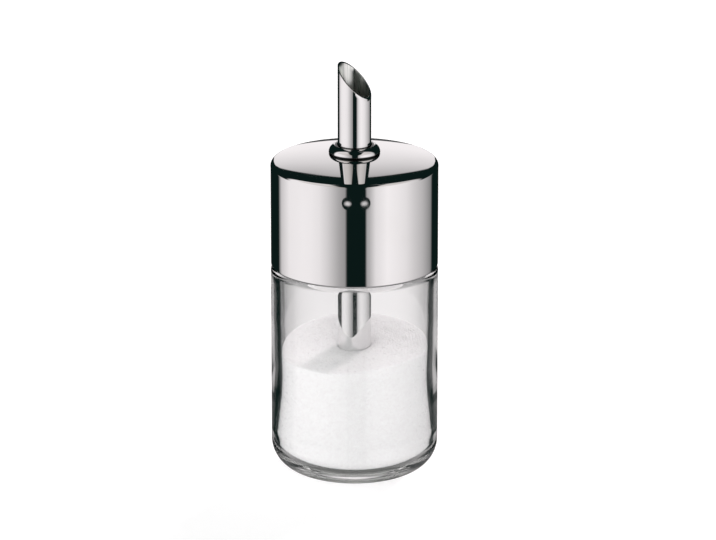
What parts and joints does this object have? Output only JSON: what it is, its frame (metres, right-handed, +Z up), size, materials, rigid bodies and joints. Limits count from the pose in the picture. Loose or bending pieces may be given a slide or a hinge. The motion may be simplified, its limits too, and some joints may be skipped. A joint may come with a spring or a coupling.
{
  "type": "sugar dispenser",
  "caption": "Round glass jar with a polished steel screw cap and a central pouring tube with a slanted open mouth, filled with sugar.",
  "frame": {"origin": "on the table, at the middle of the jar's foot", "axes": "+Z up along the jar's axis, towards the pouring tube; the slanted mouth faces +X, turned 28 degrees towards -Y"},
  "size_m": [0.06, 0.06, 0.1504],
  "materials": {
    "jar_glass": "clear, thick, with a slight green-grey tint",
    "white_sugar": "fine white crystals",
    "polished_steel": "mirror polished stainless steel",
    "liner_plastic": "moulded, satin",
    "clear_silicone": "soft, satin"
  },
  "bodies": {
    "jar": {"glass_jar": "jar_glass", "sugar_fill": "white_sugar"},
    "lift": {"rim_seal": "clear_silicone"},
    "cap": {"cap_shell": "polished_steel", "cap_liner": "liner_plastic", "pour_tube": "polished_steel", "tube_collar": "polished_steel", "tube_lock_ring": "polished_steel"}
  },
  "joints": [
    {"name": "cap_lift", "type": "slide", "parent": "jar", "child": "lift", "axis": [0, 0, 1], "range_m": [0, 0.006]},
    {"name": "cap_turn", "type": "hinge", "parent": "lift", "child": "cap", "pos_m": [0, 0, 0.0765], "axis": [0, 0, 1], "range_deg": [0, 540]}
  ],
  "couplings": [
    {"joint": "cap_lift", "follows": "cap_turn", "m_per_rad": 0.00063661}
  ]
}
